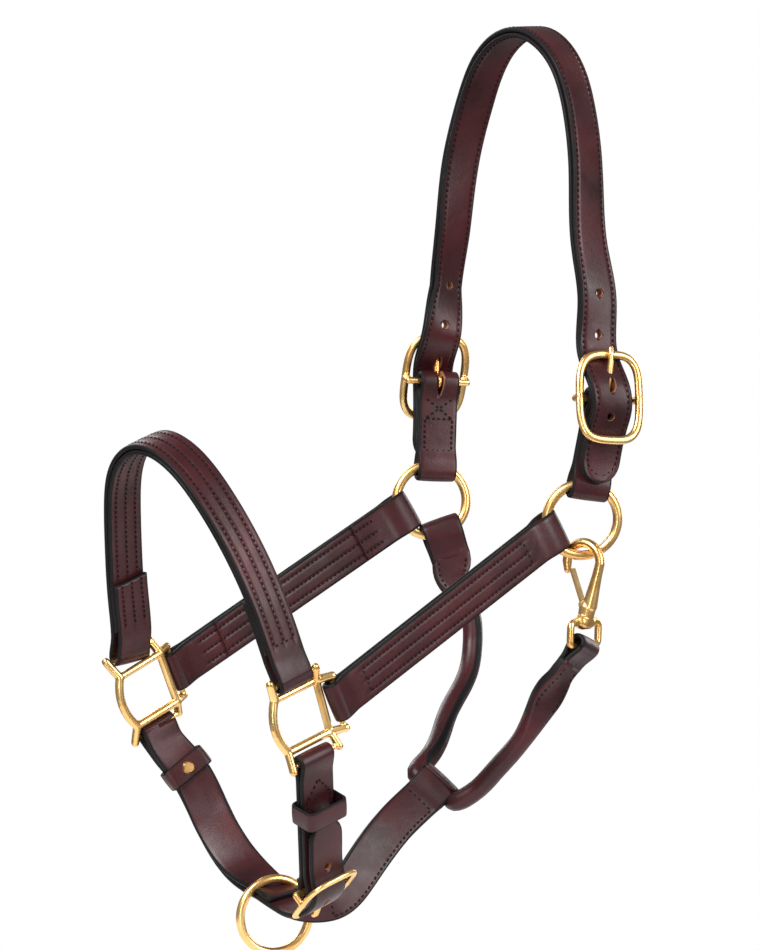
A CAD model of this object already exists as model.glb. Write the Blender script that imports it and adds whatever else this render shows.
from math import cos, exp, pi, radians, sin, sqrt

import bmesh
import bpy
import numpy as np
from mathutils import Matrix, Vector, noise


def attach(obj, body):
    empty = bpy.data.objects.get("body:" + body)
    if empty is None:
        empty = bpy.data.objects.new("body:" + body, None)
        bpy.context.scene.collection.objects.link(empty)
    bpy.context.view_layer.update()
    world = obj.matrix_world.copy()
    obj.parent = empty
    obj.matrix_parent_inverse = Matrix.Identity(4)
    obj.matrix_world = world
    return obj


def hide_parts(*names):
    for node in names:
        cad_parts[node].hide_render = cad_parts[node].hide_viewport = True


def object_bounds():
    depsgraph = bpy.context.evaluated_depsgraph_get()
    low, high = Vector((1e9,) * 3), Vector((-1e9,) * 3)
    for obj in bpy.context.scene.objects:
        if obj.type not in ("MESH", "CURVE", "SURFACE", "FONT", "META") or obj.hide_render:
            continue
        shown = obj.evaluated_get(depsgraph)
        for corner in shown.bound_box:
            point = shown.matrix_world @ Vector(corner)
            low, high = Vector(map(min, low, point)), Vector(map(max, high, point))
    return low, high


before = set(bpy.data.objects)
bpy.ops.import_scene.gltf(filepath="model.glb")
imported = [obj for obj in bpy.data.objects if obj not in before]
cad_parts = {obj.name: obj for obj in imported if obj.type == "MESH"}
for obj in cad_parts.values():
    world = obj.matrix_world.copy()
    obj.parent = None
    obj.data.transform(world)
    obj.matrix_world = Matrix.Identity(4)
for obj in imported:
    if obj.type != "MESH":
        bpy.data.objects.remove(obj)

# Leather headcollar: points and sizes are in millimetres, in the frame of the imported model,
# and every mesh is written in metres. The nose is towards -Y and the near side is at +X.

CAD_BOX = [list(corner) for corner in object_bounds()]
MM = 0.001
BODY = "straps"
NEAR, FAR = 1, -1
WORDS = {NEAR: "near", FAR: "far"}

PLY = 3.6                     # one thickness of strap leather
STRAP = 25.4                  # the straps' width
CHIN = 4.0                    # the chin strap is one thicker layer
CONNECTOR_PLY = 3.0
GAP = 0.4                     # air between pieces that move against each other
TOUCH = 0.05                  # air between fixed pieces that lie against each other
TAPER = 13                    # a folded end narrows to the strap's thickness over this length
STEP = 2.4                    # between the spots of a ply that follows a run
FOLD_STEP = 2.2               # between the spots of a short doubled strap
CROWNING = 0.3                # how much higher a face is in its middle than at its edges
EDGE_SHARE = 0.4              # how much of a ply's thickness each rounded edge takes up
FACE_STEPS, EDGE_STEPS = 12, 6
TIP_POWER, TIP_LEAST = 2.1, 0.1   # how round a strap's tip is, and its least share of the width
WAVE, RIPPLE = 0.045, 0.3     # how close the slow and the quick unevenness of a face follow, per mm
RIPPLE_SHARE, EDGE_WOBBLE = 0.25, 0.4
STITCH_PITCH = 3.6
STITCH_HALF = 1.45            # half of one stitch's length
STITCH_RADIUS = 0.68
STITCH_SIDES = 6
STITCH_DIVE = -0.55           # how deep a stitch's ends are in the leather
STITCH_SLANT = 0.13           # sideways lean of a stitch for its length
GROOVE = 0.5                  # depth of the groove that a row of stitches lies in
GROOVE_WIDE = 0.95
GROOVE_POINTS = (-1.7, -0.9, 0, 0.9, 1.7)   # where a groove's section has its points
GROOVE_CLEAR = 1.8            # a face's other points keep this far from a row
ROW_RISE = 0.22               # how high a row's thread lies in its groove
EDGE_ROWS = (-9.7, 9.7)       # rows of stitches, across from the strap's middle
THREE_ROWS = (-7.6, 0, 7.6)
PLAIN_END = 22                # no stitches this close to a folded end

# ---------------------------------------------------------------- places and runs


class Place:
    """A spot on a strap: x runs along it, y out of its face and z across it."""

    def __init__(self, origin, along, across):
        self.origin = Vector(origin)
        self.x = Vector(along).normalized()
        across = Vector(across)
        self.z = (across - self.x * across.dot(self.x)).normalized()
        self.y = self.z.cross(self.x)

    def at(self, x, y=0.0, z=0.0):
        return self.origin + self.x * x + self.y * y + self.z * z

    def back(self):
        """The same spot, looking the other way along the strap."""
        return Place(self.origin, -self.x, -self.z)

    def moved(self, x, y=0.0, z=0.0):
        return Place(self.at(x, y, z), self.x, self.z)


def smooth(share):
    share = min(max(share, 0.0), 1.0)
    return share * share * (3 - 2 * share)


def level(angle):
    """The level direction across a strap turned by this angle about Z."""
    return Vector((sin(radians(angle)), cos(radians(angle)), 0))


class Run:
    """A smooth line through the points, with the direction across it at each."""

    TABLE_STEP = 0.8

    def __init__(self, points, acrosses):
        self.points = np.array([list(p) for p in points], dtype=float)
        self.acrosses = [Vector(a).normalized() for a in acrosses]
        chords = np.linalg.norm(np.diff(self.points, axis=0), axis=1)
        self.knots = np.concatenate([[0.0], np.cumsum(chords)])
        self.slopes = self.find_slopes(chords)
        self.distances, self.values, self.marks = [0.0], [0.0], [0.0]
        last, travelled = self.points[0], 0.0
        for k, chord in enumerate(chords):
            steps = max(4, int(chord / self.TABLE_STEP))
            for i in range(1, steps + 1):
                u = self.knots[k] + chord * i / steps
                here = self.value(u)
                travelled += float(np.linalg.norm(here - last))
                last = here
                self.distances.append(travelled)
                self.values.append(u)
            self.marks.append(travelled)
        self.length = travelled

    def find_slopes(self, chords):
        """Slopes at the points of the curve with no sudden change of bend."""
        count = len(self.points)
        if count == 2:
            slope = (self.points[1] - self.points[0]) / chords[0]
            return np.array([slope, slope])
        rows = np.zeros((count, count))
        right = np.zeros((count, 3))
        rates = np.diff(self.points, axis=0) / chords[:, None]
        for k in range(1, count - 1):
            rows[k, k - 1] = chords[k]
            rows[k, k] = 2 * (chords[k - 1] + chords[k])
            rows[k, k + 1] = chords[k - 1]
            right[k] = 3 * (chords[k] * rates[k - 1] + chords[k - 1] * rates[k])
        rows[0, 0] = rows[-1, -1] = 1
        bend = (rates[1] - rates[0]) / (chords[0] + chords[1])
        right[0] = rates[0] - bend * chords[0]
        bend = (rates[-1] - rates[-2]) / (chords[-1] + chords[-2])
        right[-1] = rates[-1] + bend * chords[-1]
        return np.linalg.solve(rows, right)

    def value(self, u, slope=False):
        k = min(max(int(np.searchsorted(self.knots, u, side="right")) - 1, 0), len(self.points) - 2)
        span = self.knots[k + 1] - self.knots[k]
        t = (u - self.knots[k]) / span
        p, q = self.points[k], self.points[k + 1]
        m, n = self.slopes[k] * span, self.slopes[k + 1] * span
        if slope:
            chord_share = (6 * t * t - 6 * t) * (p - q)
            return (chord_share + (3 * t * t - 4 * t + 1) * m + (3 * t * t - 2 * t) * n) / span
        return ((2 * t**3 - 3 * t * t + 1) * p + (t**3 - 2 * t * t + t) * m
                + (3 * t * t - 2 * t**3) * q + (t**3 - t * t) * n)

    def place(self, distance):
        u = float(np.interp(distance, self.distances, self.values))
        k = min(sum(mark <= distance + 1e-6 for mark in self.marks) - 1, len(self.marks) - 2)
        share = (distance - self.marks[k]) / (self.marks[k + 1] - self.marks[k])
        share = min(max(share, 0.0), 1.0)
        across = self.acrosses[k].lerp(self.acrosses[k + 1], share)
        return Place(Vector(self.value(u)), Vector(self.value(u, slope=True)), across)


# ---------------------------------------------------------------- plies of leather


class Spot:
    """One place on a ply's middle line, with the way out of its grain face and across it."""

    def __init__(self, position, out, across):
        self.position, self.out, self.across = position, out, across

    def surface(self, across, lift):
        return self.position + self.across * across + self.out * lift


def steps_between(start, stop, step):
    count = max(2, int(round(abs(stop - start) / step)) + 1)
    return [start + (stop - start) * i / (count - 1) for i in range(count)]


def leg(run, start, stop, offset):
    """A stretch of ply beside a run; offset(distance) is how far out it lies. Stop may be before start."""
    face = 1 if stop > start else -1
    spots = []
    for distance in steps_between(start, stop, STEP):
        place = run.place(distance)
        spots.append(Spot(place.at(0, offset(distance)), place.y * face, place.z))
    return spots


def wrap(place, radius, slack=0.0, count=13):
    """A ply's turn round a bar, from the outer face to the inner one; x points out of the strap."""
    spots = []
    for i in range(count):
        angle = pi / 2 - pi * i / (count - 1)
        out = place.x * cos(angle) + place.y * sin(angle)
        spots.append(Spot(place.at(slack) + out * radius, out, place.z))
    return spots


def joined_turn(turn, across, before, radius):
    """The spots of a turn, in the order that carries on from the spot before it."""
    turn = [Spot(s.position, s.out, across) for s in turn]
    if (turn[0].position - before.position).length > radius:
        turn.reverse()
    return turn


def swell(radius, rest, distance, taper):
    """How much further out than at rest a ply lies, this far from the bar that it is folded round."""
    return (radius - rest) * (1 - smooth(distance / taper))


def section(width, thick, rows, groove=GROOVE):
    """(across, out, part) round a ply's section: crowned faces, painted rounded edges, stitch grooves.
    part is 0 for the grain face, 1 for an edge and 2 for the flesh face."""
    half = width / 2
    edge = min(thick * EDGE_SHARE, half * EDGE_SHARE)

    def rise(across):
        height = thick / 2 - CROWNING * (across / half) ** 2
        for row in rows:
            height -= groove * exp(-((across - row) / GROOVE_WIDE) ** 2)
        return height

    def edge_points(side):
        angles = [side * pi / 2 - pi * i / EDGE_STEPS for i in range(1, EDGE_STEPS)]
        return [(side * (half - edge) + edge * cos(angle), corner * sin(angle), 1) for angle in angles]

    flat = [(-1 + 2 * i / FACE_STEPS) * (half - edge) for i in range(FACE_STEPS + 1)]
    for row in rows:
        flat = [a for a in flat if abs(a - row) > GROOVE_CLEAR]
        flat += [row + d for d in GROOVE_POINTS]
    flat.sort()
    corner = rise(half - edge)
    grain = [(a, rise(a), 0) for a in flat]
    flesh = [(a, -rise(a), 2) for a in flat[::-1]]
    return grain + edge_points(1) + flesh + edge_points(-1)


def add_mesh(name, points, faces, parts, materials):
    mesh = bpy.data.meshes.new(name)
    mesh.from_pydata([tuple(p * MM) for p in points], [], faces)
    for material in materials:
        mesh.materials.append(material)
    for polygon, part in zip(mesh.polygons, parts):
        polygon.material_index = part
        polygon.use_smooth = True
    mesh.update()
    made = bpy.data.objects.new(name, mesh)
    bpy.context.scene.collection.objects.link(made)
    return made


def keep_modified(made):
    """Makes the shape that an object's modifiers give its own mesh."""
    graph = bpy.context.evaluated_depsgraph_get()
    whole = bpy.data.meshes.new_from_object(made.evaluated_get(graph))
    made.modifiers.clear()
    made.data = whole


def tip_shares(spots, reach):
    """How wide a rounded pointed tip is at each spot, counted from the first one."""
    shares, travelled = [], 0.0
    for k, spot in enumerate(spots):
        if k:
            travelled += (spot.position - spots[k - 1].position).length
        left = min(max(1 - travelled / reach, 0), 1)
        shares.append(max(sqrt(max(1 - left**TIP_POWER, 0)), TIP_LEAST))
    return shares


def both_tips(spots, tips):
    """How wide the ply is at each spot, when its ends have tips of these lengths; 0 is a square end."""
    shares = [1.0] * len(spots)
    for reach, way in zip(tips, (1, -1)):
        if reach:
            shares = [min(pair) for pair in zip(shares, tip_shares(spots[::way], reach)[::way])]
    return shares


def ply(name, spots, width=STRAP, thick=PLY, rows=(), closed=False, tips=(0, 0), wobble=0.16, sewn=None):
    """One ply of leather along its spots, with its two ends cut square or rounded to a tip.
    sewn says how deep the stitch grooves are at each spot, from 0 to 1."""
    outline = section(width, thick, rows)
    smooth_outline = section(width, thick, rows, groove=0)
    sewn = sewn or [1] * len(spots)
    size = len(outline)
    points, faces, parts = [], [], []
    for spot, share, depth in zip(spots, both_tips(spots, tips), sewn):
        for (across, out, part), (_, smooth_out, _) in zip(outline, smooth_outline):
            here = spot.surface(across * share, smooth_out + (out - smooth_out) * depth)
            shift = noise.noise(here * WAVE) * wobble + noise.noise(here * RIPPLE) * wobble * RIPPLE_SHARE
            points.append(here + spot.out * shift * (EDGE_WOBBLE if part == 1 else 1))
    rings = len(spots)
    for k in range(rings if closed else rings - 1):
        for i in range(size):
            j = (i + 1) % size
            after = (k + 1) % rings
            faces.append((k * size + i, after * size + i, after * size + j, k * size + j))
            one, other = outline[i][2], outline[j][2]
            parts.append(one if one == other else 1)
    if not closed:
        faces.append(tuple(range(size)))
        faces.append(tuple(reversed(range((rings - 1) * size, rings * size))))
        parts += [1, 1]
    made = add_mesh(name, points, faces, parts, LEATHER)
    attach(made, BODY)
    return made


# ---------------------------------------------------------------- thread


def stitch_shape():
    """A short fat stitch along x whose ends dive into the leather."""
    points = [Vector((-STITCH_HALF, 0, STITCH_DIVE))]
    for k in (1, 2, 3):
        x = -STITCH_HALF + 2 * STITCH_HALF * k / 4
        size = STITCH_RADIUS * sqrt(1 - (x / STITCH_HALF) ** 2 * 0.6)
        sink = -0.22 * (x / STITCH_HALF) ** 2
        for i in range(STITCH_SIDES):
            angle = 2 * pi * i / STITCH_SIDES
            points.append(Vector((x, size * cos(angle), size * sin(angle) + sink)))
    points.append(Vector((STITCH_HALF, 0, STITCH_DIVE)))
    first, second, third, end = [1 + STITCH_SIDES * ring for ring in range(4)]
    faces = []
    for i in range(STITCH_SIDES):
        j = (i + 1) % STITCH_SIDES
        faces.append((0, first + j, first + i))
        for ring, after in ((first, second), (second, third)):
            faces.append((ring + i, ring + j, after + j, after + i))
        faces.append((third + i, third + j, end))
    return points, faces


STITCH_POINTS, STITCH_FACES = stitch_shape()


class Thread:
    """All the stitches of one piece."""

    def __init__(self, name):
        self.name, self.points, self.faces = name, [], []

    def line(self, path):
        """Stitches along a path of (point on the surface, way out of the surface)."""
        marks = [0.0]
        for (a, _), (b, _) in zip(path, path[1:]):
            marks.append(marks[-1] + (b - a).length)
        count = max(1, int(round(marks[-1] / STITCH_PITCH)))
        ends = []
        for i in range(count + 1):
            spot = np.interp(marks[-1] * i / count, marks, range(len(path)))
            k = min(int(spot), len(path) - 2)
            (start, start_out), (stop, stop_out) = path[k:k + 2]
            ends.append((start.lerp(stop, spot - k), start_out.lerp(stop_out, spot - k)))
        for (a, out), (b, _) in zip(ends, ends[1:]):
            self.one((a + b) / 2, b - a, out)

    def one(self, middle, along, out):
        x = along.normalized()
        z = (out - x * out.dot(x)).normalized()
        y = z.cross(x)
        x, y = x + y * STITCH_SLANT, y - x * STITCH_SLANT
        grow = 1 + noise.noise(middle * 1.7) * 0.18
        start = len(self.points)
        for p in STITCH_POINTS:
            self.points.append(middle + x * p.x * grow + y * p.y + z * (p.z - 0.06))
        self.faces += [tuple(start + i for i in face) for face in STITCH_FACES]

    def rows(self, spots, rows, thick, shares=None):
        """Rows of stitches on a ply's grain face; shares draw them together towards a tip."""
        shares = shares or [1] * len(spots)
        for row in rows:
            lift = thick / 2 - CROWNING * (row / (STRAP / 2)) ** 2 - GROOVE + ROW_RISE
            self.line([(s.surface(row * share, lift), s.out) for s, share in zip(spots, shares)])

    def cross(self, spot, thick, reach=THREE_ROWS[-1]):
        lift = thick / 2 - 0.1
        self.line([(spot.surface(v, lift), spot.out) for v in (-reach, -reach / 2, 0, reach / 2, reach)])

    def make(self):
        made = add_mesh(self.name, self.points, self.faces, [0] * len(self.faces), [THREAD])
        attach(made, BODY)
        return made


# ---------------------------------------------------------------- cutting


def cutter(place, across, high, depth, count=20):
    """A closed oval prism through a strap at a place: across its width, high along it."""
    points = []
    for i in range(count):
        angle = 2 * pi * i / count
        points.append((high / 2 * cos(angle), across / 2 * sin(angle)))
    low = [place.at(x, -depth, z) for x, z in points]
    top = [place.at(x, depth, z) for x, z in points]
    faces = [tuple(range(count)), tuple(reversed(range(count, 2 * count)))]
    faces += [(i, i + count, (i + 1) % count + count, (i + 1) % count) for i in range(count)]
    return add_mesh("cutter", low + top, faces, [0] * len(faces), [RAW_EDGE])


def box_cutter(place, long, tall, wide):
    corners = [place.at(x * long / 2, y * tall / 2, z * wide / 2)
               for x in (-1, 1) for y in (-1, 1) for z in (-1, 1)]
    faces = [(0, 1, 3, 2), (4, 6, 7, 5), (0, 4, 5, 1), (2, 3, 7, 6), (0, 2, 6, 4), (1, 5, 7, 3)]
    return add_mesh("box_cutter", corners, faces, [0] * 6, [BRASS])


def tongue_cutter(place, extra, high, depth):
    """Room for a tongue, this much wider than the tongue is."""
    return cutter(place, 2 * TONGUE_RADIUS + extra, high, depth)


def cut(made, cutters):
    """Cuts holes and keeps the cutter's material on their walls."""
    for tool in cutters:
        modifier = made.modifiers.new("hole", "BOOLEAN")
        modifier.operation = "DIFFERENCE"
        modifier.solver = "EXACT"
        modifier.material_mode = "TRANSFER"
        modifier.object = tool
    keep_modified(made)
    for tool in cutters:
        bpy.data.objects.remove(tool)


# ---------------------------------------------------------------- materials


def ramp(nodes, links, source, low, high, low_at=0.3, high_at=0.7):
    node = nodes.new("ShaderNodeValToRGB")
    node.color_ramp.elements[0].position = low_at
    node.color_ramp.elements[1].position = high_at
    node.color_ramp.elements[0].color = (*low, 1)
    node.color_ramp.elements[1].color = (*high, 1)
    links.new(source, node.inputs["Fac"])
    return node.outputs["Color"]


def pattern(nodes, links, coordinates, kind, scale, detail=4.0, stretch=None):
    node = nodes.new(kind)
    node.inputs["Scale"].default_value = scale
    if "Detail" in node.inputs:
        node.inputs["Detail"].default_value = detail
    source = coordinates
    if stretch:
        mapping = nodes.new("ShaderNodeMapping")
        mapping.inputs["Scale"].default_value = stretch
        links.new(coordinates, mapping.inputs["Vector"])
        source = mapping.outputs["Vector"]
    links.new(source, node.inputs["Vector"])
    return node.outputs[0]


def bump(nodes, links, height, strength, distance, after=None):
    node = nodes.new("ShaderNodeBump")
    node.inputs["Strength"].default_value = strength
    node.inputs["Distance"].default_value = distance
    links.new(height, node.inputs["Height"])
    if after is not None:
        links.new(after, node.inputs["Normal"])
    return node.outputs["Normal"]


def new_material(name):
    material = bpy.data.materials.new(name)
    material.use_nodes = True
    nodes, links = material.node_tree.nodes, material.node_tree.links
    shader = nodes["Principled BSDF"]
    coordinates = nodes.new("ShaderNodeTexCoord").outputs["Object"]
    return material, nodes, links, shader, coordinates


def leather_material(name, dark, light, gloss, coat, grain=0.35, crease=0.5, shine=0.26):
    """Dyed waxed leather: clouded colour, fine pores, soft creases and an uneven polish.
    gloss is the least and the greatest roughness."""
    material, nodes, links, shader, coordinates = new_material(name)
    clouds = pattern(nodes, links, coordinates, "ShaderNodeTexNoise", 28, 6)
    links.new(ramp(nodes, links, clouds, dark, light), shader.inputs["Base Color"])
    polish = pattern(nodes, links, coordinates, "ShaderNodeTexNoise", 90, 5)
    low, high = gloss
    links.new(ramp(nodes, links, polish, (low,) * 3, (high,) * 3), shader.inputs["Roughness"])
    pores = pattern(nodes, links, coordinates, "ShaderNodeTexVoronoi", 1100)
    wrinkles = pattern(nodes, links, coordinates, "ShaderNodeTexNoise", 260, 8)
    folds = pattern(nodes, links, coordinates, "ShaderNodeTexNoise", 70, 3)
    normal = bump(nodes, links, folds, crease, 0.0006)
    normal = bump(nodes, links, wrinkles, 0.4, 0.00025, normal)
    normal = bump(nodes, links, pores, grain, 0.00012, normal)
    links.new(normal, shader.inputs["Normal"])
    shader.inputs["Coat Weight"].default_value = coat
    shader.inputs["Coat Roughness"].default_value = 0.3
    shader.inputs["Specular IOR Level"].default_value = shine
    return material


def brass_material(name, rough):
    """Polished brass with faint clouding, handling marks and a warmer tone in patches."""
    material, nodes, links, shader, coordinates = new_material(name)
    shader.inputs["Metallic"].default_value = 1
    tone = pattern(nodes, links, coordinates, "ShaderNodeTexNoise", 45, 1)
    links.new(ramp(nodes, links, tone, (0.80, 0.44, 0.14), (0.93, 0.62, 0.26)), shader.inputs["Base Color"])
    marks = pattern(nodes, links, coordinates, "ShaderNodeTexNoise", 120, 1)
    low, high = rough
    links.new(ramp(nodes, links, marks, (low,) * 3, (high,) * 3), shader.inputs["Roughness"])
    casting = pattern(nodes, links, coordinates, "ShaderNodeTexNoise", 130, 0)
    links.new(bump(nodes, links, casting, 0.06, 0.0001), shader.inputs["Normal"])
    return material


GRAIN = leather_material("havana_leather", (0.019, 0.0034, 0.0043), (0.057, 0.0080, 0.0104),
                         (0.33, 0.5), 0.13)
FLESH = leather_material("lining_leather", (0.015, 0.0036, 0.0042), (0.044, 0.0080, 0.0095),
                         (0.38, 0.58), 0.08, crease=0.9)
EDGE = leather_material("painted_edge", (0.0045, 0.004, 0.0045), (0.010, 0.008, 0.009),
                        (0.45, 0.65), 0.0, grain=0.15, crease=0.6, shine=0.16)
RAW_EDGE = leather_material("raw_edge", (0.20, 0.07, 0.03), (0.36, 0.15, 0.07), (0.6, 0.8), 0.0)
THREAD = leather_material("waxed_thread", (0.004, 0.0016, 0.002), (0.010, 0.0032, 0.004),
                          (0.5, 0.65), 0.0, shine=0.15)
BRASS = brass_material("polished_brass", (0.27, 0.36))
LEATHER = [GRAIN, EDGE, FLESH, RAW_EDGE]   # in the order that section numbers a ply's parts

# ---------------------------------------------------------------- camera, light and floor

LOOK_AT = Vector((0, 0, 6.4))
VIEW_TURN, VIEW_RISE = 52, 5.5
FRAME_MIDDLE = (-92.25, -279.75)   # millimetres right of and above LOOK_AT
CAMERA_AWAY = 4000
TALL_IN_VIEW = 593.75
SENSOR = 36


def make_camera():
    turn, rise = radians(VIEW_TURN), radians(VIEW_RISE)
    right = Vector((cos(turn), sin(turn), 0))
    up = Vector((-sin(rise) * sin(turn), sin(rise) * cos(turn), cos(rise)))
    back = Vector((sin(turn) * cos(rise), -cos(turn) * cos(rise), sin(rise)))
    target = LOOK_AT + right * FRAME_MIDDLE[0] + up * FRAME_MIDDLE[1]
    data = bpy.data.cameras.new("camera")
    data.sensor_width = SENSOR
    data.sensor_fit = "AUTO"
    data.lens = SENSOR * CAMERA_AWAY / TALL_IN_VIEW
    data.clip_end = 50
    made = bpy.data.objects.new("camera", data)
    made.location = (target + back * CAMERA_AWAY) * MM
    made.rotation_euler = back.to_track_quat("Z", "Y").to_euler()
    bpy.context.scene.collection.objects.link(made)
    bpy.context.scene.camera = made
    return target, right, up, back


TARGET, RIGHT, UP, BACK = make_camera()


def soft_light(name, right, up, back, wide, tall, power, colour=(1, 1, 1)):
    """A soft box placed by the camera's own directions, in millimetres from the object."""
    data = bpy.data.lights.new(name, "AREA")
    data.shape = "RECTANGLE"
    data.size, data.size_y = wide * MM, tall * MM
    data.energy = power
    data.color = colour
    made = bpy.data.objects.new(name, data)
    place = TARGET + RIGHT * right + UP * up + BACK * back
    made.location = place * MM
    made.rotation_euler = (place - TARGET).to_track_quat("Z", "Y").to_euler()
    bpy.context.scene.collection.objects.link(made)


soft_light("key", -1100, 1300, 1500, 1000, 1000, 70)
soft_light("side", 1500, 500, 1100, 420, 1500, 30)
soft_light("front", -300, -250, 2400, 260, 1500, 13)
soft_light("rim", -900, 900, -1300, 600, 1200, 14)
soft_light("rim_right", 1200, 500, -1300, 400, 1200, 9)


FLOOR_BELOW = 60              # from the object's lowest point
FLOOR_RADIUS = 400
FLOOR_SIDES = 96


def make_floor():
    material, _, _, shader, _ = new_material("pale_floor")
    shader.inputs["Base Color"].default_value = (0.86, 0.86, 0.86, 1)
    shader.inputs["Roughness"].default_value = 0.9
    depth = CAD_BOX[0][2] / MM - FLOOR_BELOW
    x, y, _ = [(low + high) / 2 / MM for low, high in zip(*CAD_BOX)]
    rim = []
    for i in range(FLOOR_SIDES):
        angle = 2 * pi * i / FLOOR_SIDES
        rim.append(Vector((x + FLOOR_RADIUS * cos(angle), y + FLOOR_RADIUS * sin(angle), depth)))
    made = add_mesh("floor", rim, [tuple(range(FLOOR_SIDES))], [0], [material])


def make_world():
    """A white backdrop for the camera and a dim grey room for the light that falls on the object."""
    world = bpy.data.worlds.new("studio")
    bpy.context.scene.world = world
    world.use_nodes = True
    nodes, links = world.node_tree.nodes, world.node_tree.links
    room = nodes["Background"]
    room.inputs["Color"].default_value = (0.27, 0.265, 0.26, 1)
    backdrop = nodes.new("ShaderNodeBackground")
    backdrop.inputs["Color"].default_value = (1, 1, 1, 1)
    seen = nodes.new("ShaderNodeMixShader")
    links.new(nodes.new("ShaderNodeLightPath").outputs["Is Camera Ray"], seen.inputs[0])
    links.new(room.outputs[0], seen.inputs[1])
    links.new(backdrop.outputs[0], seen.inputs[2])
    links.new(seen.outputs[0], nodes["World Output"].inputs["Surface"])


make_floor()
make_world()
bpy.context.scene.view_settings.view_transform = "Standard"

# ---------------------------------------------------------------- brass

BAR_RADIUS, TONGUE_RADIUS = 2.2, 1.7
TONGUE_SHARES = (1.25, 1.2, 1.1, 1, 0.9)   # the tongue's thickness along it
TONGUE_EYE = 1.45             # radius of the bar of its eye
TIP_PAST = 0.8                # how far its tip goes past the frame, and bends down there
ROUND_END = (82, 60, 35)      # degrees round a bar's end


def with_round_ends(points, radii):
    """The same bar with a half ball on each end."""
    first = (points[0] - points[1]).normalized() * radii[0]
    last = (points[-1] - points[-2]).normalized() * radii[-1]
    head = [points[0] + first * sin(radians(turn)) for turn in ROUND_END]
    tail = [points[-1] + last * sin(radians(turn)) for turn in ROUND_END[::-1]]
    head_radii = [radii[0] * cos(radians(turn)) for turn in ROUND_END]
    tail_radii = [radii[-1] * cos(radians(turn)) for turn in ROUND_END[::-1]]
    return head + list(points) + tail, head_radii + list(radii) + tail_radii


def tube(points, radii, closed=False, flat=1.0, normal=None, sides=20):
    """Corners and faces of a bar through the points, thinner along the normal where flat is below 1."""
    if not closed:
        points, radii = with_round_ends(points, radii)
    count = len(points)
    side = Vector(normal) if normal else (points[1] - points[0]).orthogonal()
    corners, faces = [], []
    for k, point in enumerate(points):
        before = points[k - 1] if closed or k else point
        after = points[(k + 1) % count] if closed or k + 1 < count else point
        along = (after - before).normalized()
        side = (side - along * side.dot(along)).normalized()
        other = along.cross(side)
        for i in range(sides):
            angle = 2 * pi * i / sides
            corners.append(point + (side * (cos(angle) * flat) + other * sin(angle)) * radii[k])
    for k in range(count if closed else count - 1):
        after = (k + 1) % count
        for i in range(sides):
            j = (i + 1) % sides
            faces.append((k * sides + i, k * sides + j, after * sides + j, after * sides + i))
    if not closed:
        faces.append(tuple(reversed(range(sides))))
        faces.append(tuple(range((count - 1) * sides, count * sides)))
    return corners, faces


def rounded(power, count):
    """(x, y, angle) round an outline within 1 of the middle: a circle at power 2, squarer above it."""
    points = []
    for i in range(count):
        angle = 2 * pi * i / count
        c, s = cos(angle), sin(angle)
        x = abs(c) ** (2 / power) * (1 if c > 0 else -1)
        y = abs(s) ** (2 / power) * (1 if s > 0 else -1)
        points.append((x, y, angle))
    return points


def loop_points(centre, along, across, long, wide, power, count=96):
    return [centre + along * (x * long / 2) + across * (y * wide / 2) for x, y, _ in rounded(power, count)]


def even_tube(points, radius, **shape):
    return tube(points, [radius] * len(points), **shape)


def brass_piece(node, bars, body=BODY, cast=0.0):
    """Metal made of bars; with a cast size they are melted into one smooth piece."""
    points, faces = [], []
    for bar_points, bar_faces in bars:
        start = len(points)
        points += bar_points
        faces += [tuple(start + i for i in face) for face in bar_faces]
    made = add_mesh(f"{node}_metal", points, faces, [0] * len(faces), [BRASS])
    if cast:
        melted = made.modifiers.new("cast", "REMESH")
        melted.mode = "VOXEL"
        melted.voxel_size = cast * MM
        melted.use_smooth_shade = True
        polished = made.modifiers.new("polish", "SMOOTH")
        polished.factor = 0.5
        polished.iterations = 8
        keep_modified(made)
    else:
        shape = bmesh.new()
        shape.from_mesh(made.data)
        bmesh.ops.recalc_face_normals(shape, faces=shape.faces)
        shape.to_mesh(made.data)
        shape.free()
    made.data.materials.clear()
    made.data.materials.append(BRASS)
    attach(made, body)
    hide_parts(node)
    return made


def make_ring(node, centre, across, up, radius, wire):
    points = loop_points(centre, across, up, 2 * radius, 2 * radius, 2)
    brass_piece(node, [even_tube(points, wire, closed=True, normal=across.cross(up))], body=node)


def buckle_frame(bar, size):
    """The middle of a buckle's leaning frame, and the ways along it, out of it and across it."""
    lean = radians(size["lean"])
    centre = bar.at(-size["set_back"] * sin(lean), size["set_back"] * cos(lean))
    along = bar.x * cos(lean) + bar.y * sin(lean)
    normal = bar.y * cos(lean) - bar.x * sin(lean)
    return centre, along, normal, normal.cross(along)


def make_buckle(node, bar, size):
    """A rounded polished frame that leans out over its strap, and a centre bar behind it on two bosses."""
    centre, along, normal, across = buckle_frame(bar, size)
    wire = size["wire"]
    side = size["wide"] / 2 - wire
    outline = loop_points(centre, along, across, size["tall"] - 2 * wire, 2 * side, size["square"])
    bars = [even_tube(outline, wire * 0.95, closed=True, flat=0.8, normal=normal)]
    ends = [centre + across * y - normal * size["set_back"] for y in (-side, side)]
    bars.append(even_tube(ends, BAR_RADIUS))
    for end, y in zip(ends, (-side, side)):
        bars.append(tube([end, centre + across * y], [BAR_RADIUS, wire * 0.9]))
    brass_piece(node, bars, cast=0.4)


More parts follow.
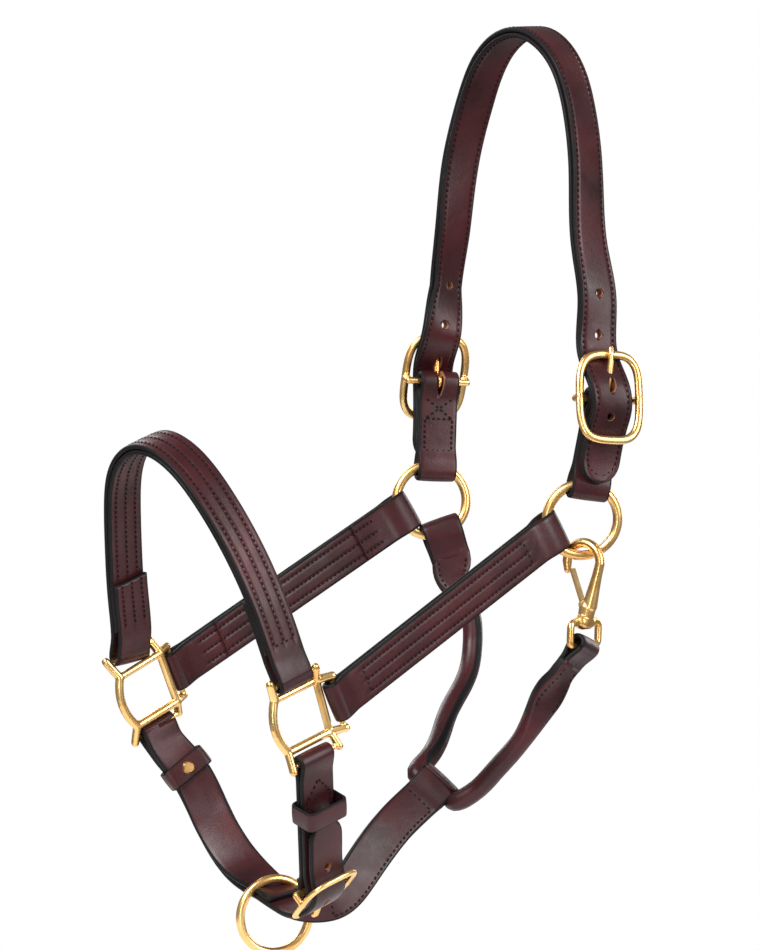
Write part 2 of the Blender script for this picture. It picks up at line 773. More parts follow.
def make_tongue(node, bar, size):
    """A tapered tongue with an eye round the centre bar; its tip bends down over the frame."""
    centre, along, normal, _ = buckle_frame(bar, size)
    over = size["wire"] + TONGUE_RADIUS
    heel = bar.at(0, BAR_RADIUS + TONGUE_RADIUS)
    tip = centre + along * (size["wire"] - size["tall"] / 2) + normal * over
    beyond = centre - along * (size["tall"] / 2 + TIP_PAST) + normal * (over - TIP_PAST)
    line = [heel, heel.lerp(tip, 0.35) + normal * 0.6, heel.lerp(tip, 0.7) + normal * 0.5, tip, beyond]
    shank = tube(line, [TONGUE_RADIUS * share for share in TONGUE_SHARES])
    eye_across = 2 * (BAR_RADIUS + TONGUE_EYE + 0.1)
    eye_line = loop_points(bar.origin, bar.x, bar.y, eye_across, eye_across, 2, 48)
    eye = even_tube(eye_line, TONGUE_EYE, closed=True, normal=bar.z)
    brass_piece(node, [shank, eye], body=node, cast=0.35)


# ---------------------------------------------------------------- crown and its buckles

CROWN_TOP = (0, 0, PLY)
CROWN_LEG = [((20, 0, -1.5), -4), ((38, 0, -16.5), -8), ((51.6, -1, -43), -9), ((61.8, -4, -80), -6),
             ((68, -6, -127), 1), ((75, -5.5, -160), 10)]
CROWN_THREADING = [(-28, -10.3), (-7.7, 8.2), (2.5, 10.5), (14, 9), (28, 7.8), (40, 8.4), (51, 11.2)]
CROWN_OFF_MIDDLE = {NEAR: (4.5, 0.5, -1, 0, 1.5, 2.5, 3.5), FAR: (-2.5, -1, 0, 0, 0, 0, 0)}
CROWN_HOLES_UP = {NEAR: (49, 75), FAR: (46, 72)}
CROWN_HOLE_DOWN = 8.5
HOLE = 4.8
HOLE_EXTRA, SLOT_EXTRA = 1.6, 1.2   # how much wider than the tongue its hole and a chape's slot are
SLOT_LONG = 20
THROUGH = 20                  # half the length of a cutter that goes through every layer
CROWN_TIP = 15                # a crown ply's rounded end is this long
TURN, RING_TURN = 20, 28
CHAPE_DOWN = {NEAR: (-0.14, -0.12, -0.98), FAR: (0.07, -0.095, -0.99)}
CHAPE_OFF_RING = {NEAR: 0, FAR: 2}
BUCKLE_COCK = {NEAR: 5, FAR: 0}
BAR_TO_RING = 76
RING_CENTRE = (75, -17, -295.6)
RING_RADIUS, RING_WIRE, RING_SLACK = 22.5, 3.0, 3.4
BAR_SLACK = 0.9
CHAPE_BOX = (24, 44)          # a chape's stitched box, from the buckle's bar
CHAPE_CROSS = 11              # where the crossed stitches above it begin
SEWN_SIDE = 9                 # from a chape's middle to its side rows
CROWN_BUCKLE = dict(wide=44.6, tall=59.2, wire=2.8, square=3.4, lean=20, set_back=8)
CHIN_BUCKLE = dict(wide=39.6, tall=45.2, wire=2.25, square=4.2, lean=36, set_back=7)


def chape_place(side):
    ring = Vector((RING_CENTRE[0] * side, *RING_CENTRE[1:]))
    down = Vector(CHAPE_DOWN[side]).normalized()
    return Place(ring - down * BAR_TO_RING, down, level(TURN) * -side).moved(0, 0, CHAPE_OFF_RING[side])


def buckle_place(side):
    chape = chape_place(side)
    cock = radians(BUCKLE_COCK[side])
    down = chape.x * cos(cock) - chape.z * sin(cock)
    return Place(chape.origin, down, down.cross(chape.y))


def ring_place(side):
    chape = chape_place(side)
    return Place(chape.at(BAR_TO_RING, 0, -CHAPE_OFF_RING[side]), chape.x, level(RING_TURN) * -side)


def ring_spot(side, angle):
    ring = ring_place(side)
    outward = ring.x * cos(radians(angle)) - ring.z * side * sin(radians(angle))
    return ring.origin + outward * RING_RADIUS, outward


def crown_run():
    points, acrosses = [Vector(CROWN_TOP)], [level(0) * -1]
    for side in (NEAR, FAR):
        bar = buckle_place(side)
        side_points = [Vector((p[0] * side, p[1], p[2])) for p, _ in CROWN_LEG]
        side_points += [bar.at(x, y, z) for (x, y), z in zip(CROWN_THREADING, CROWN_OFF_MIDDLE[side])]
        turns = [level(angle * side) * -1 for _, angle in CROWN_LEG] + [bar.z * side] * len(CROWN_THREADING)
        if side == NEAR:
            points, acrosses = points + side_points, acrosses + turns
        else:
            points, acrosses = side_points[::-1] + points, turns[::-1] + acrosses
    return Run(points, acrosses)


def make_crown():
    run = crown_run()
    over_far = run.marks[4]
    over_near = run.marks[-5]
    thread = Thread("crown_stitching")
    holes = [over_far + up for up in CROWN_HOLES_UP[FAR]] + [over_near - up for up in CROWN_HOLES_UP[NEAR]]
    outer = leg(run, 0, run.length, lambda s: PLY / 2)
    lining = leg(run, run.length, 0, lambda s: -PLY / 2)
    for node, spots in (("crown_outer", outer), ("crown_lining", lining)):
        made = ply(f"{node}_ply", spots, rows=EDGE_ROWS, tips=(CROWN_TIP, CROWN_TIP))
        tools = [cutter(run.place(distance), HOLE, HOLE, 12) for distance in holes]
        for side in (NEAR, FAR):
            bar = buckle_place(side)
            tools.append(tongue_cutter(bar.moved(-11), HOLE_EXTRA, 9, THROUGH))
            tools.append(cutter(bar.moved(CROWN_HOLE_DOWN), HOLE, HOLE, THROUGH))
        cut(made, tools)
        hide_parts(node)
        stitched = spots[2:-2]
        thread.rows(stitched, EDGE_ROWS, PLY, both_tips(stitched, (CROWN_TIP - 2, CROWN_TIP - 2)))
    thread.make()


def closed_fold(top, length, high_radius, low_radius, low_slack):
    """A ply that runs round a bar above and another below, its two layers face to face."""
    half = PLY / 2
    taper = min(TAPER, length / 3)

    def offset(x):
        return half + swell(high_radius, half, x, taper) + swell(low_radius, half, length - x, taper)

    outer = [Spot(top.at(x, offset(x)), top.y, top.z) for x in steps_between(0, length, FOLD_STEP)]
    inner = [Spot(top.at(x, -offset(x)), -top.y, top.z) for x in steps_between(length, 0, FOLD_STEP)]
    low_turn = wrap(top.moved(length), low_radius, low_slack)
    high_turn = joined_turn(wrap(top.back(), high_radius), top.z, inner[-1], high_radius)
    return outer + low_turn + inner + high_turn


def chape_stitch(place, x, z, face):
    """A spot just above one face of a doubled strap, and the way out of that face."""
    return place.at(x, (PLY + 0.1) * face, z), place.y * face


def make_chape(side):
    word = WORDS[side]
    place = chape_place(side)
    reach = BAR_TO_RING - RING_RADIUS
    bar_radius = BAR_RADIUS + BAR_SLACK + PLY / 2
    spots = closed_fold(place, reach, bar_radius, RING_FOLD_RADIUS, RING_SLACK)
    made = ply(f"crown_chape_{word}_ply", spots, closed=True)
    cut(made, [tongue_cutter(buckle_place(side).moved(-1), SLOT_EXTRA, SLOT_LONG, 12)])
    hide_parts(f"crown_chape_{word}")
    thread = Thread(f"crown_chape_{word}_stitching")
    top, low = CHAPE_BOX
    box = [(top, -SEWN_SIDE), (top, SEWN_SIDE), (low, SEWN_SIDE), (low, -SEWN_SIDE), (top, -SEWN_SIDE)]
    lines = list(zip(box, box[1:]))
    lines += [((CHAPE_CROSS, -z), (top, z)) for z in (SEWN_SIDE, -SEWN_SIDE)]
    for face in (1, -1):
        for line in lines:
            thread.line([chape_stitch(place, x, z, face) for x, z in line])
    thread.make()


# ---------------------------------------------------------------- cheekpieces and noseband

SQUARE_CENTRE = (78.3, -238, -399.6)
SQUARE_TILT = {NEAR: 18, FAR: 23}
WINDOW = 29.4
NOSE_BAR, CHEEK_BAR, CHIN_BAR, FOLD_BAR = 1.9, 2.2, 2.5, 1.9
FOLD_BAR_OUT = 8.6
EARS_OUT, EARS_FORWARD = 3.5, 2.9
CHEEK_ON_RING = {NEAR: 33, FAR: 26}
CHEEK_TURN_BACK = 38
NOSE_RISE = (0, -0.318, 0.948)
NOSE_NEAR = [(80.8, 18), (76.4, 53), (66, 87), (51.5, 115), (34.3, 135.5)]
NOSE_TOP = (8, 146.5)
NOSE_FAR = [(78.5, 14), (70, 41), (60.4, 68), (48.7, 97), (29, 130)]
NOSE_TURN_BACK, NOSE_TAPER = 55, 16
FOLD_RADIUS = FOLD_BAR + TOUCH + PLY / 2
RING_FOLD_RADIUS = RING_WIRE + GAP + PLY / 2
LINING_GAP = 0.4              # between a cheekpiece's lining and its turned-back ends
NOSE_LINING_END = 20


def square_axes(side):
    tilt = radians(SQUARE_TILT[side])
    centre = Vector((SQUARE_CENTRE[0] * side, *SQUARE_CENTRE[1:]))
    return centre, Vector((0, cos(tilt), sin(tilt))), Vector((0, sin(tilt), -cos(tilt)))


def fold_bar(side, which):
    centre, p, q = square_axes(side)
    out_by = WINDOW / 2 + FOLD_BAR_OUT
    ahead = p * -(EARS_FORWARD / 2)
    spots = dict(nose=q * -(out_by + NOSE_BAR) + ahead, cheek=p * (out_by + CHEEK_BAR),
                 chin=q * (out_by + CHIN_BAR) + ahead)
    return centre + spots[which] + Vector((side * EARS_OUT, 0, 0))


NOSE_WIRE, CHEEK_WIRE, CHIN_WIRE, FRONT_WIRE, EAR_WIRE = 2.3, 2.5, 2.6, 2.7, 2.6
FRONT_BULGE = 5
FRONT_EAR_UP, FRONT_EAR_DOWN, BACK_EAR = 12, 11, 9.2
WEB_WIRE = 1.7


def bowed(start, middle, end, count=9):
    """Points along a gentle curve through three points."""
    control = middle * 2 - (start + end) / 2
    points = []
    for i in range(count):
        t = i / (count - 1)
        points.append(start * (1 - t) ** 2 + control * (2 * t * (1 - t)) + end * t**2)
    return points


def make_square(side):
    """A cast window with a bowed front; ears curl out from its corners and hold the fold bars."""
    centre, p, q = square_axes(side)
    back = WINDOW / 2 + CHEEK_BAR
    top = WINDOW / 2 + NOSE_BAR
    low = WINDOW / 2 + CHIN_BAR
    front = WINDOW / 2 + 1.3
    ahead, out_by = EARS_FORWARD, EARS_OUT

    def spot(a, b, out=0.0):
        return centre + p * a + q * b + Vector((side * out, 0, 0))

    bars = [even_tube([spot(-front, -top), spot(back, -top)], NOSE_WIRE),
            even_tube([spot(back, -top), spot(back, low)], CHEEK_WIRE),
            even_tube([spot(-front, low), spot(back, low)], CHIN_WIRE)]
    bow = bowed(spot(-front, -top), spot(-front - FRONT_BULGE, 0), spot(-front, low))
    bars.append(even_tube(bow, FRONT_WIRE))
    ears = [((-front, -top), (-front - ahead, -top - FRONT_EAR_UP)),
            ((back, -top), (back - 1, -top - BACK_EAR)),
            ((back, -top), (back + BACK_EAR, -top + 0.5)),
            ((back, low), (back + BACK_EAR, low + 0.6)),
            ((back, low), (back + 1, low + BACK_EAR)),
            ((-front, low), (-front - ahead, low + FRONT_EAR_DOWN))]
    for edge, away in ((-top, -1), (low, 1)):
        web = bowed(spot(back, edge + 5 * away, 1.5), spot(back + 1.5, edge + 1.5 * away, 0.6),
                    spot(back + 5, edge, 1.5))
        bars.append(even_tube(web, WEB_WIRE))
    for root, tip in ears:
        halfway = [r * 0.45 + t * 0.55 for r, t in zip(root, tip)]
        line = bowed(spot(*root), spot(*halfway, out_by * 0.75), spot(*tip, out_by + 1))
        bars.append(even_tube(line, EAR_WIRE))
    fold_bars = [((-front - ahead, -top - FOLD_BAR_OUT), (back - 1, -top - FOLD_BAR_OUT)),
                 ((back + FOLD_BAR_OUT, -top), (back + FOLD_BAR_OUT, low)),
                 ((-front - ahead, low + FOLD_BAR_OUT), (back, low + FOLD_BAR_OUT))]
    for one, other in fold_bars:
        bars.append(even_tube([spot(*one, out_by), spot(*other, out_by)], FOLD_BAR))
    brass_piece(f"halter_square_{WORDS[side]}", bars, cast=0.42)


def two_ended(run, first, last, inner_at, turn_back, radii, slacks, taper):
    """A ply turned back at both ends: its spots, how deep its grooves are at each, and its three legs."""
    def beside(s, rest):
        return rest + swell(radii[0], rest, s, taper) + swell(radii[1], rest, run.length - s, taper)

    begin = leg(run, turn_back, 0, lambda s: -beside(s, inner_at))
    along = leg(run, 0, run.length, lambda s: beside(s, PLY / 2))
    finish = leg(run, run.length, run.length - turn_back, lambda s: -beside(s, inner_at))
    start_turn = joined_turn(wrap(first, radii[0], slacks[0]), first.z * -1, begin[-1], radii[0])
    end_turn = wrap(last, radii[1], slacks[1])

    def sewn(distance):
        return smooth((min(distance, run.length - distance) - PLAIN_END) / 4 + 0.5)

    ends = [sewn(d) for d in steps_between(turn_back, 0, STEP)]
    whole = [sewn(d) for d in steps_between(0, run.length, STEP)]
    grooves = ends + [0] * len(start_turn) + whole + [0] * len(end_turn) + ends[::-1]
    return begin + start_turn + along + end_turn + finish, grooves, (begin, along, finish)


def sew_two_ended(name, run, legs, lining, plain):
    """Three rows on every leg and on the lining, and a row across at both ends of the outer face."""
    begin, along, finish = legs
    thread = Thread(name)
    marked = zip(along, steps_between(0, run.length, STEP))
    sewn = [spot for spot, distance in marked if PLAIN_END < distance < run.length - PLAIN_END]
    for stretch in (sewn, lining, begin[:-plain], finish[plain:]):
        thread.rows(stretch, THREE_ROWS, PLY)
    thread.cross(sewn[0], PLY)
    thread.cross(sewn[-1], PLY)
    thread.make()


def make_cheek(side):
    word = WORDS[side]
    _, _, q = square_axes(side)
    start = fold_bar(side, "cheek")
    end, away = ring_spot(side, CHEEK_ON_RING[side] - 90)
    wire = away.cross(ring_place(side).y)
    if wire.dot(q) < 0:
        wire = -wire
    at_square = Place(start, start - end, q * -side)
    at_ring = Place(end, end - start, wire * side)
    run = Run([start, end], [q * side, wire * side])
    spots, grooves, legs = two_ended(run, at_square, at_ring, PLY / 2, CHEEK_TURN_BACK,
                                     (FOLD_RADIUS, RING_FOLD_RADIUS), (0, RING_SLACK), TAPER)
    made = ply(f"cheek_{word}_outer_ply", spots, rows=THREE_ROWS, sewn=grooves)
    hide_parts(f"cheek_outer_{word}")
    lining_end = CHEEK_TURN_BACK + LINING_GAP
    lining = leg(run, run.length - lining_end, lining_end, lambda s: -PLY / 2)
    inside = ply(f"cheek_{word}_lining_ply", lining, rows=THREE_ROWS)
    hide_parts(f"cheek_lining_{word}")
    sew_two_ended(f"cheek_{word}_stitching", run, legs, lining, 9)


def make_noseband():
    rise = Vector(NOSE_RISE).normalized()
    across = Vector((1, 0, 0)).cross(rise)
    bar = fold_bar(NEAR, "nose")

    def spot(x, height):
        return Vector((x, bar.y, bar.z)) + rise * height

    points = [fold_bar(FAR, "nose")] + [spot(-x, h) for x, h in NOSE_FAR] + [spot(*NOSE_TOP)]
    points += [spot(x, h) for x, h in NOSE_NEAR[::-1]] + [bar]
    run = Run(points, [across] * len(points))
    spots, grooves, legs = two_ended(run, run.place(0).back(), run.place(run.length), 1.5 * PLY,
                                     NOSE_TURN_BACK, (FOLD_RADIUS, FOLD_RADIUS), (0, 0), NOSE_TAPER)
    made = ply("noseband_outer_ply", spots, rows=THREE_ROWS, sewn=grooves)
    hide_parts("noseband_outer")
    lining = leg(run, run.length - NOSE_LINING_END, NOSE_LINING_END, lambda s: -PLY / 2)
    inside = ply("noseband_lining_ply", lining, rows=THREE_ROWS)
    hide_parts("noseband_lining")
    sew_two_ended("noseband_stitching", run, legs, lining[16:-16], 10)


# ---------------------------------------------------------------- chin

CHIN_RUN = [(-71, -214, -450), (-56, -205, -480), (-34, -200, -506), (-4, -198, -519.5), (18, -199, -524)]
CHIN_ACROSS = [(0.25, 0.85, 0.45), (0.5, 0.72, 0.48), (0.42, 0.85, 0.3), (0.15, 0.98, 0.05), (0, 0.98, 0.2)]
CHIN_BAR_CENTRE = (53, -206, -508)
CHIN_THREADING = [(-22, -13.2), (-7, 4.4), (0.5, 8), (13, 6.4), (30, 6.2), (58, 6.2)]
CHIN_HOLE_UP = 18
CHIN_TIP = 14                 # the length of the strap's rounded end
CHIN_TIP_SHORT = 7            # the strap stops this far before its run does
INNER_SHORT = 8               # the turned-back layer stops this far before CHIN_RUN's last point
CHIN_SEWN = (14, 26, 22)      # from the top: where the rows meet and reach the sides; last, from the bar
FAR_KEEPER_DOWN = 32
LEAD_CENTRE = (-2, -197.5, -534.9)
LEAD_RADIUS, LEAD_WIRE, LEAD_TURN = 22.8, 2.75, 75
KEEPER_HEIGHT, KEEPER_LEATHER, KEEPER_CORNER = 13, 2.4, 1.6
KEEPER_PLAY = 0.2             # air between the riveted keeper and the strap
NEAR_KEEPER_UP = 56


def chin_place():
    _, p, _ = square_axes(NEAR)
    top = fold_bar(NEAR, "chin")
    bar = Vector(CHIN_BAR_CENTRE)
    return Place(bar, top - bar, p), (top - bar).length


def chin_run():
    _, p, _ = square_axes(FAR)
    start = fold_bar(FAR, "chin")
    place, _ = chin_place()
    towards = start - Vector(CHIN_RUN[0])
    fold = Place(start, towards - p * towards.dot(p), p)
    points = [start, fold.at(-TAPER)] + [Vector(c) for c in CHIN_RUN]
    points += [place.at(x, y) for x, y in CHIN_THREADING]
    acrosses = [p, p] + [Vector(c) for c in CHIN_ACROSS] + [place.z] * len(CHIN_THREADING)
    return Run(points, acrosses), fold


def make_chin_strap():
    run, fold = chin_run()
    place, _ = chin_place()
    half = CHIN / 2
    radius = FOLD_BAR + TOUCH + half

    def offset(s):
        return half + swell(radius, half, s, TAPER)

    begin = leg(run, run.marks[6] - INNER_SHORT, 0, lambda s: -offset(s))
    turn = joined_turn(wrap(fold, radius), fold.z * -1, begin[-1], radius)
    along = leg(run, 0, run.length - CHIN_TIP_SHORT, offset)
    made = ply("chin_strap_ply", begin + turn + along, thick=CHIN, tips=(0, CHIN_TIP))
    cut(made, [tongue_cutter(place.moved(-9), HOLE_EXTRA, 7, 16),
               cutter(place.moved(CHIN_HOLE_UP, 9), HOLE, HOLE, 6)])
    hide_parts("chin_strap")


def make_chin_chape():
    place, reach = chin_place()
    spots = closed_fold(place, reach, BAR_RADIUS + TOUCH + PLY / 2, FOLD_RADIUS, 0)
    made = ply("chin_chape_ply", spots, closed=True)
    cut(made, [tongue_cutter(place.moved(-1), SLOT_EXTRA, SLOT_LONG, 12)])
    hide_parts("chin_chape")
    thread = Thread("chin_chape_stitching")
    meet, spread, stop = CHIN_SEWN
    for face in (1, -1):
        for z in (-SEWN_SIDE, SEWN_SIDE):
            line = [(reach - meet, 0), (reach - spread, z), (stop, z)]
            corners = [chape_stitch(place, *corner, face) for corner in line]
            thread.line(corners[:2])
            thread.line(corners[1:])
    thread.make()


def keeper(name, place, low, high, body, node):
    """A narrow band of leather round a strap, with rounded corners and a crowned face."""
    half = STRAP / 2 + GAP - KEEPER_CORNER
    middle = (low + high) / 2
    tall = (high - low) / 2 - KEEPER_CORNER
    spots = []
    for z, y, start in ((half, tall, 90), (half, -tall, 0), (-half, -tall, -90), (-half, tall, -180)):
        for i in range(7):
            angle = radians(start - 15 * i)
            out = place.z * cos(angle) + place.y * sin(angle)
            middle_line = place.at(0, middle + y, z) + out * (KEEPER_CORNER + KEEPER_LEATHER / 2)
            spots.append(Spot(middle_line, out, place.x))
    filled = []
    for a, b in zip(spots, spots[1:] + spots[:1]):
        steps = max(1, int((b.position - a.position).length / 2))
        for i in range(steps):
            out = a.out.lerp(b.out, i / steps).normalized()
            filled.append(Spot(a.position.lerp(b.position, i / steps), out, a.across))
    made = ply(name, filled, width=KEEPER_HEIGHT, thick=KEEPER_LEATHER, closed=True, wobble=0.1)
    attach(made, body)
    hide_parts(node)


def make_keepers():
    place, _ = chin_place()
    keeper("chin_keeper_near_band", place.moved(NEAR_KEEPER_UP), -PLY - GAP,
           CHIN_THREADING[-1][1] + CHIN + 2 * GAP, "chin_keeper_near", "chin_keeper_near")
    run, _ = chin_run()
    reach = CHIN + KEEPER_PLAY
    keeper("chin_keeper_far_band", run.place(FAR_KEEPER_DOWN), -reach, reach, BODY, "chin_keeper_far")


# ---------------------------------------------------------------- connector and throatlatch

CONNECTOR_ON_LEAD = 20
CONNECTOR_ROW = -9.9
CONNECTOR_RUN = [(9, -160, -527), (8, -139, -512), (4, -106, -484)]
LOOP_CENTRE = Vector((0, -74.2, -465.5))
LOOP_ACROSS = Vector((0.55, 0.62, -0.55))
ROLL_RADIUS = 6.3
LIP, LIP_AT, LIP_WIDE = 0.9, 0.22, 0.13   # the seam's lips: height, and place and width in radians
SEAM, SEAM_WIDE = 1.0, 0.09   # the seam's depth, and its width in radians
ROLL_WAVE, ROLL_WOBBLE = 0.12, 0.25
TAB_SQUARE = 5                # how much squarer a tab's section is than the roll's
ROLL_FAR = [(-49, -6, -366), (-44, -8, -384), (-38, -16.4, -402), (-27, -41, -424), (-12, -71, -451)]
ROLL_NEAR = [(12, -68, -474), (26, -61, -466), (38, -55.5, -452.7), (50, -47.5, -436.3), (62, -36.2, -409)]
TAB_FAR = [(-65, -9, -340), (-57, -7.5, -354)]
TAB_NEAR = (68.5, -29, -393)
FAR_TAB_LEAN = 21
ROLL_INSIDE = Vector((5, -12, -385))
SNAP_TURN, HOOK_BACK = 17, 12
SNAP_LENGTH, EYE_WIRE, EYE_TALL, EYE_INSIDE = 41, 2.3, 15, 26.6
SNAP_WIRE, HOOK_RADIUS, HOOK_OFF, HOOK_DOWN, HOOK_STEPS = 3.0, 12.1, 0.8, -4.2, 14
HOOK_NOSE = (0.4, -5.5, 2.2)  # the open end: across and up from where the curve starts, and its radius
ARM_RADII = (3.2, 3.8, 4.8)   # the hook's arm swells towards the base
BASE_UP, ARM_OFF, BASE_OFF, EYE_OFF = -31.5, 6.2, 4.9, 3
BASE_RADII = (5.4, 4.8)
KNUCKLE_HALF, KNUCKLE_RADIUS = 3.6, 4.9
GATE_SLOT_OFF, GATE_SLOT_UP = -0.4, 15.5   # its middle, from the eye's bar
GATE_SLOT = (9.6, 15, 5.8)    # across the hook, up it and through it


def lead_place():
    turn = radians(LEAD_TURN)
    return Place(LEAD_CENTRE, (cos(turn), sin(turn), 0), (sin(turn), -cos(turn), 0))


def make_connector():
    lead = lead_place()
    angle = radians(CONNECTOR_ON_LEAD)
    away = lead.x * cos(angle) + lead.y * sin(angle)
    wire = lead.y * cos(angle) - lead.x * sin(angle)
    start = lead.origin + away * LEAD_RADIUS
    loop_end = Place(LOOP_CENTRE, LOOP_CENTRE - Vector(CONNECTOR_RUN[-1]), LOOP_ACROSS)
    points = [start] + [Vector(c) for c in CONNECTOR_RUN] + [loop_end.at(-TAPER - 2), LOOP_CENTRE]
    middle = wire.lerp(-LOOP_ACROSS, 0.5)
    acrosses = [wire, wire.lerp(middle, 0.5), middle, -LOOP_ACROSS, -LOOP_ACROSS, -LOOP_ACROSS]
    run = Run(points, acrosses)
    half = CONNECTOR_PLY / 2
    radii = (LEAD_WIRE + GAP + half, ROLL_RADIUS + 0.1 + half)

    def offset(s):
        return half + swell(radii[0], half, s, TAPER) + swell(radii[1], half, run.length - s, TAPER + 3)

    outer = leg(run, 0, run.length, offset)
    inner = leg(run, run.length, 0, lambda s: -offset(s))
    first, last = run.place(0), run.place(run.length)
    low_turn = joined_turn(wrap(first.back(), radii[0], RING_SLACK), first.z, inner[-1], radii[0])
    spots = outer + wrap(last, radii[1]) + inner + low_turn
    made = ply("connector_ply", spots, thick=CONNECTOR_PLY, closed=True)
    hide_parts("connector_strap")
    thread = Thread("connector_stitching")
    for piece in (outer, inner[::-1]):
        picked = piece[6:-7]
        thread.line([(s.surface(CONNECTOR_ROW, CONNECTOR_PLY / 2), s.out) for s in picked])
        for spot in (picked[0], picked[-1]):
            thread.cross(spot, CONNECTOR_PLY, EDGE_ROWS[-1])
    thread.make()


def snap_place():
    spot, _ = ring_spot(NEAR, HOOK_BACK)
    turn = radians(SNAP_TURN)
    side = Vector((cos(turn), sin(turn), 0))
    up = Vector((-0.05, 0.04, 1))
    up = (up - side * up.dot(side)).normalized()
    return Place(spot, side, side.cross(up))


def make_snap():
    """A round hook whose wire swells into a channelled base, and the eye that the base turns on."""
    snap = snap_place()
    hook = []
    for i in range(HOOK_STEPS + 1):
        angle = pi - pi * i / HOOK_STEPS
        hook.append(snap.at(HOOK_OFF + HOOK_RADIUS * cos(angle), HOOK_DOWN + HOOK_RADIUS * sin(angle)))
    nose = snap.at(HOOK_OFF - HOOK_RADIUS + HOOK_NOSE[0], HOOK_DOWN + HOOK_NOSE[1])
    arm = [hook[-1].lerp(snap.at(ARM_OFF, BASE_UP), share) for share in (0.3, 0.6, 1)]
    radii = [HOOK_NOSE[2]] + [SNAP_WIRE] * len(hook) + list(ARM_RADII)
    eye_bar = snap.at(EYE_OFF, -SNAP_LENGTH)
    knuckle = snap.z * KNUCKLE_HALF
    bars = [tube([nose] + hook + arm, radii),
            tube([snap.at(BASE_OFF, BASE_UP), eye_bar], BASE_RADII),
            even_tube([eye_bar - knuckle, eye_bar + knuckle], KNUCKLE_RADIUS)]
    made = brass_piece("snap_body", bars, body="snap", cast=0.4)
    cut(made, [box_cutter(snap.moved(GATE_SLOT_OFF, GATE_SLOT_UP - SNAP_LENGTH), *GATE_SLOT)])
    centre = eye_bar - snap.y * (EYE_TALL / 2)
    outline = loop_points(centre, snap.y, snap.z, EYE_TALL, EYE_INSIDE + 2 * EYE_WIRE, 6)
    brass_piece("snap_eye", [even_tube(outline, EYE_WIRE, closed=True, normal=snap.x)])


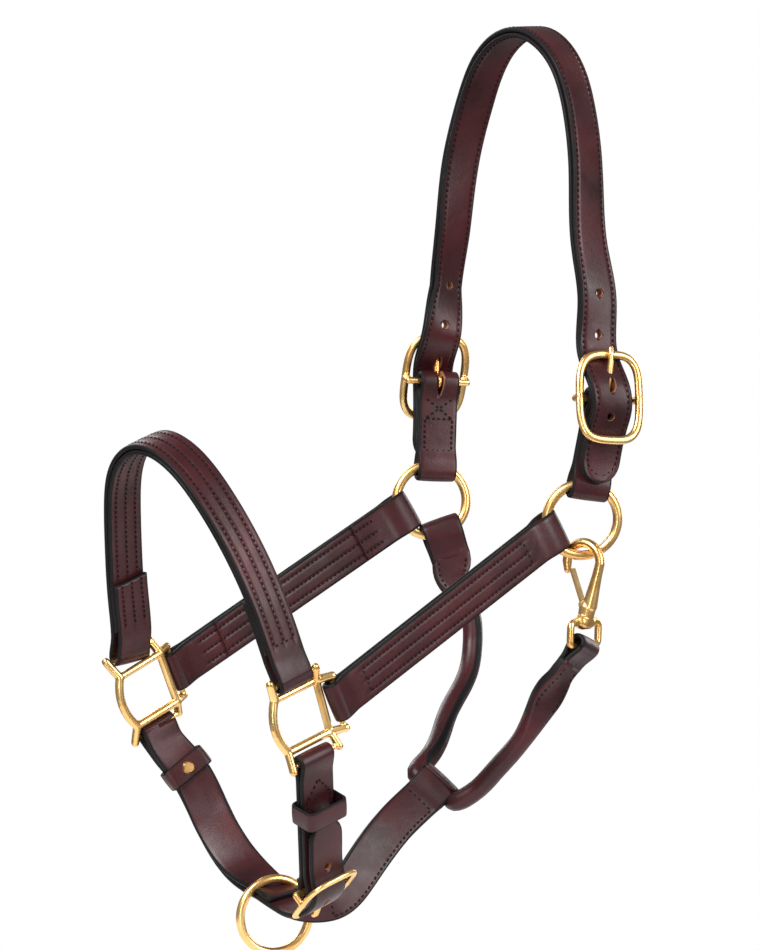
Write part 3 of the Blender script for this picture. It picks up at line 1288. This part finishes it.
class Throatlatch:
    """A strap rolled into a cord round a seam, flat at both ends, where it folds round ring and eye."""

    SIDES = 40

    def __init__(self):
        spot, away = ring_spot(FAR, FAR_TAB_LEAN)
        wire = away.cross(ring_place(FAR).y)
        self.far_fold = Place(spot, -away, wire)
        snap = snap_place()
        eye_bar = snap.at(EYE_OFF, -SNAP_LENGTH - EYE_TALL)
        self.near_fold = Place(eye_bar, eye_bar - Vector(TAB_NEAR), snap.z)
        self.run = self.find_run(wire, snap.z)
        self.far_tab = self.run.marks[4]
        self.near_tab = self.run.length - self.run.marks[-4]

    def find_run(self, far_across, near_across):
        loop = LOOP_ACROSS.normalized()
        points = [self.far_fold.at(-TAPER), self.far_fold.at(-TAPER - 4)]
        points += [Vector(c) for c in TAB_FAR + ROLL_FAR]
        points += [LOOP_CENTRE + loop * s for s in (-STRAP / 2, 0, STRAP / 2)]
        points += [Vector(c) for c in ROLL_NEAR + [TAB_NEAR]]
        points.append(self.near_fold.at(-TAPER))
        bends = Run(points, [Vector((0, 0, 1))] * len(points))
        acrosses = []
        for k, mark in enumerate(bends.marks):
            if k < 4:
                across = far_across
            elif k >= len(points) - 2:
                across = near_across
            else:
                across = bends.place(mark).x.cross(ROLL_INSIDE - points[k]).normalized()
            if acrosses and across.dot(acrosses[-1]) < 0:
                across = -across
            acrosses.append(across)
        return Run(points, acrosses)

    def size(self, distance):
        """How flat the strap is, from 0 in the roll to 1 at a tab's end, and half its width and height."""
        from_end = self.run.length - distance
        flat = max(1 - smooth(distance / self.far_tab), 1 - smooth(from_end / self.near_tab))
        return flat, ROLL_RADIUS + (STRAP / 2 - ROLL_RADIUS) * flat, ROLL_RADIUS + (PLY - ROLL_RADIUS) * flat

    def make_roll(self):
        """The roll, with two lips at its seam and a painted edge on its flat ends."""
        points, faces, parts = [], [], []
        count = self.SIDES
        stops = steps_between(0, self.run.length, STEP)
        for k, distance in enumerate(stops):
            place = self.run.place(distance)
            flat, wide, tall = self.size(distance)
            seam = count // 4 if (ROLL_INSIDE - place.origin).dot(place.y) > 0 else 3 * count // 4
            seam_at = 2 * pi * seam / count
            for x, y, angle in rounded(2 + TAB_SQUARE * flat, count):
                off_seam = abs((angle - seam_at + pi) % (2 * pi) - pi)
                lip = LIP * exp(-((off_seam - LIP_AT) / LIP_WIDE) ** 2)
                dip = SEAM * exp(-(off_seam / SEAM_WIDE) ** 2)
                grow = 1 + (lip - dip) * (1 - flat) / ROLL_RADIUS
                here = place.at(0, tall * y * grow, wide * x * grow)
                points.append(here + place.y * noise.noise(here * ROLL_WAVE) * ROLL_WOBBLE)
            if k == len(stops) - 1:
                break
            for i in range(count):
                j = (i + 1) % count
                faces.append((k * count + i, k * count + j, (k + 1) * count + j, (k + 1) * count + i))
                edge = min(i, count - i, abs(i - count // 2)) < 2 and flat > 0.25
                on_seam = abs(i - seam) < 3 and flat < 0.3
                parts.append(1 if on_seam or edge else 0)
        faces.append(tuple(reversed(range(count))))
        faces.append(tuple(range((len(stops) - 1) * count, len(stops) * count)))
        made = add_mesh("throatlatch_roll", points, faces, parts + [1, 1], LEATHER)
        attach(made, BODY)
        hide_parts("throatlatch")

    def sew_tabs(self):
        thread = Thread("throatlatch_stitching")
        length = self.run.length
        for first, last in ((4, self.far_tab * 0.6), (length - 4, length - self.near_tab * 0.55)):
            for face in (1, -1):
                for row in (-1, 1):
                    line = []
                    for distance in steps_between(first, last, STEP):
                        place = self.run.place(distance)
                        _, wide, tall = self.size(distance)
                        line.append((place.at(0, (tall - 0.1) * face, wide * 0.7 * row), place.y * face))
                    thread.line(line)
        thread.make()

    def make_fold(self, name, fold, radius, slack):
        """The two layers of an end that part round a ring or bar."""
        outer, inner = [], []
        for x in steps_between(-TAPER - 3, 0, 2):
            offset = PLY / 2 + swell(radius, PLY / 2, -x, TAPER)
            outer.append(Spot(fold.at(x, offset), fold.y, fold.z))
            inner.append(Spot(fold.at(x, -offset), -fold.y, fold.z))
        made = ply(name, outer + wrap(fold, radius, slack) + inner[::-1])
        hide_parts("throatlatch")


def make_throatlatch():
    throatlatch = Throatlatch()
    throatlatch.sew_tabs()
    throatlatch.make_roll()
    throatlatch.make_fold("throatlatch_far_fold", throatlatch.far_fold, RING_FOLD_RADIUS, RING_SLACK)
    throatlatch.make_fold("throatlatch_near_fold", throatlatch.near_fold, EYE_WIRE + 0.1 + PLY / 2, 0)


# ---------------------------------------------------------------- everything

make_crown()
for side in (NEAR, FAR):
    word = WORDS[side]
    make_chape(side)
    make_cheek(side)
    make_square(side)
    make_buckle(f"crown_buckle_{word}", buckle_place(side), CROWN_BUCKLE)
    make_tongue(f"crown_tongue_{word}", buckle_place(side), CROWN_BUCKLE)
    ring = ring_place(side)
    make_ring(f"cheek_ring_{word}", ring.origin, ring.x, ring.z, RING_RADIUS, RING_WIRE)
make_noseband()
make_chin_strap()
make_chin_chape()
make_keepers()
make_connector()
make_throatlatch()
make_buckle("chin_buckle", chin_place()[0], CHIN_BUCKLE)
make_tongue("chin_tongue", chin_place()[0], CHIN_BUCKLE)
make_snap()
lead = lead_place()
make_ring("lead_ring", lead.origin, lead.x, lead.y, LEAD_RADIUS, LEAD_WIRE)

PLAIN_BRASS = ["keeper_rivet", "snap_gate_pin", "snap_gate"]   # these keep their CAD shape
for node in PLAIN_BRASS:
    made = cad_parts[node]
    made.data.materials.clear()
    made.data.materials.append(BRASS)
